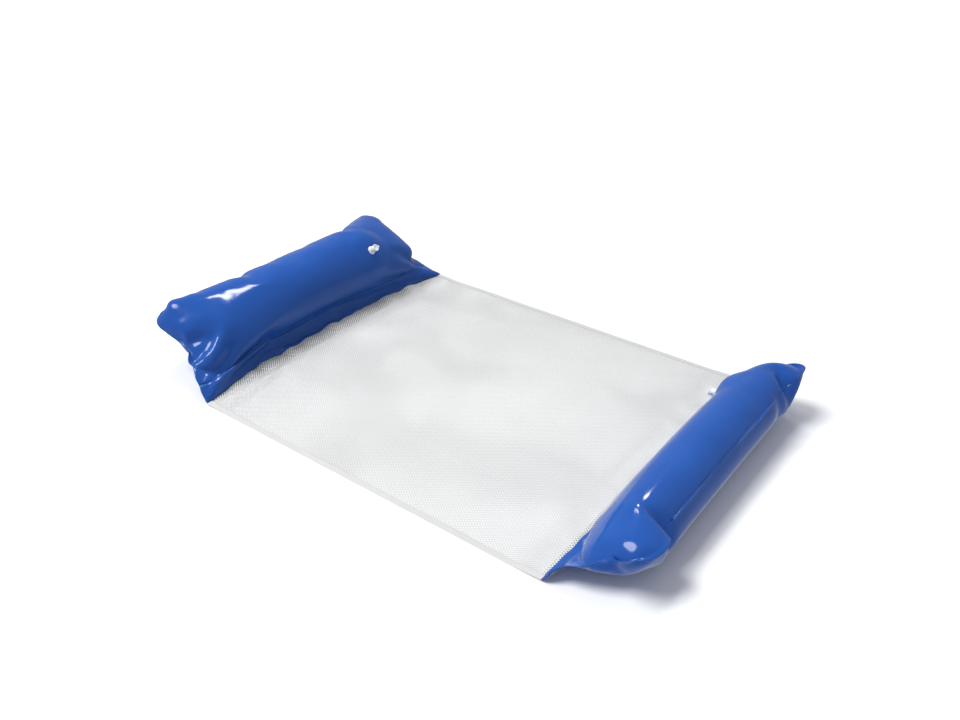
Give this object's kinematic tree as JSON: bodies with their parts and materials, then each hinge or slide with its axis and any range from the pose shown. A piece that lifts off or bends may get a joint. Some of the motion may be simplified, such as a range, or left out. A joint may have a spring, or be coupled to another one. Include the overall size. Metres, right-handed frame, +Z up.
{
  "type": "inflatable pool float",
  "caption": "Inflatable pool float: a wide head pillow and a slimmer foot tube of welded film, joined by a mesh panel that a person lies on in the water.",
  "frame": {"origin": "on the ground under the middle of the float's bounding box, laid out flat for use", "axes": "+X along the two inflated chambers, +Y from the foot tube to the head pillow, +Z up"},
  "size_m": [0.66, 1.0586, 0.1409],
  "materials": {
    "pvc_film": "gloss",
    "mesh_cloth": "matte",
    "valve_vinyl": "satin"
  },
  "bodies": {
    "mesh_head_half": {"mesh_head_half": "mesh_cloth", "head_hem_left": "mesh_cloth", "head_hem_right": "mesh_cloth"},
    "mesh_foot_half": {"mesh_foot_half": "mesh_cloth", "foot_hem_left": "mesh_cloth", "foot_hem_right": "mesh_cloth"},
    "head_pillow": {"head_upper_panel": "pvc_film", "head_lower_panel": "pvc_film", "head_skirt_top_strip": "pvc_film", "head_skirt_bottom_strip": "pvc_film", "head_valve_flange": "valve_vinyl"},
    "head_valve_stem": {"head_valve_stem": "valve_vinyl"},
    "head_valve_cap": {"head_valve_cap": "valve_vinyl"},
    "head_valve_flap": {"head_valve_flap": "valve_vinyl"},
    "foot_pillow": {"foot_upper_panel": "pvc_film", "foot_lower_panel": "pvc_film", "foot_skirt_top_strip": "pvc_film", "foot_skirt_bottom_strip": "pvc_film", "foot_valve_flange": "valve_vinyl"},
    "foot_valve_stem": {"foot_valve_stem": "valve_vinyl"},
    "foot_valve_cap": {"foot_valve_cap": "valve_vinyl"},
    "foot_valve_flap": {"foot_valve_flap": "valve_vinyl"}
  },
  "joints": [
    {"name": "mesh_fold", "type": "hinge", "parent": "mesh_head_half", "child": "mesh_foot_half", "pos_m": [0, -0.02475, 0.00185], "axis": [-1, 0, 0], "range_deg": [0, 100]},
    {"name": "head_fold", "type": "hinge", "parent": "mesh_head_half", "child": "head_pillow", "pos_m": [0, 0.32775, 0.00185], "axis": [1, 0, 0], "range_deg": [0, 102]},
    {"name": "foot_fold", "type": "hinge", "parent": "mesh_foot_half", "child": "foot_pillow", "pos_m": [0, -0.37725, 0.00185], "axis": [-1, 0, 0], "range_deg": [0, 95]},
    {"name": "head_stem_push", "type": "slide", "parent": "head_pillow", "child": "head_valve_stem", "axis": [0, 0.7986, -0.6018], "range_m": [0, 0.01]},
    {"name": "head_cap_swing", "type": "hinge", "parent": "head_valve_stem", "child": "head_valve_cap", "pos_m": [0.148, 0.36307, 0.12145], "axis": [0, -0.6018, -0.7986], "range_deg": [0, 150]},
    {"name": "head_flap_swing", "type": "hinge", "parent": "head_valve_stem", "child": "head_valve_flap", "pos_m": [0.1504, 0.3798, 0.10885], "axis": [0, 0.6018, 0.7986], "range_deg": [0, 60], "stiffness_Nm_per_rad": 0.00005, "springref_deg": -28.65},
    {"name": "foot_stem_push", "type": "slide", "parent": "foot_pillow", "child": "foot_valve_stem", "axis": [0, -1, 0], "range_m": [0, 0.01]},
    {"name": "foot_cap_swing", "type": "hinge", "parent": "foot_valve_stem", "child": "foot_valve_cap", "pos_m": [0.171, -0.3905, 0.05245], "axis": [0, 0, 1], "range_deg": [0, 150]},
    {"name": "foot_flap_swing", "type": "hinge", "parent": "foot_valve_stem", "child": "foot_valve_flap", "pos_m": [0.1734, -0.41145, 0.05245], "axis": [0, 0, -1], "range_deg": [0, 60], "stiffness_Nm_per_rad": 0.00005, "springref_deg": -28.65}
  ]
}
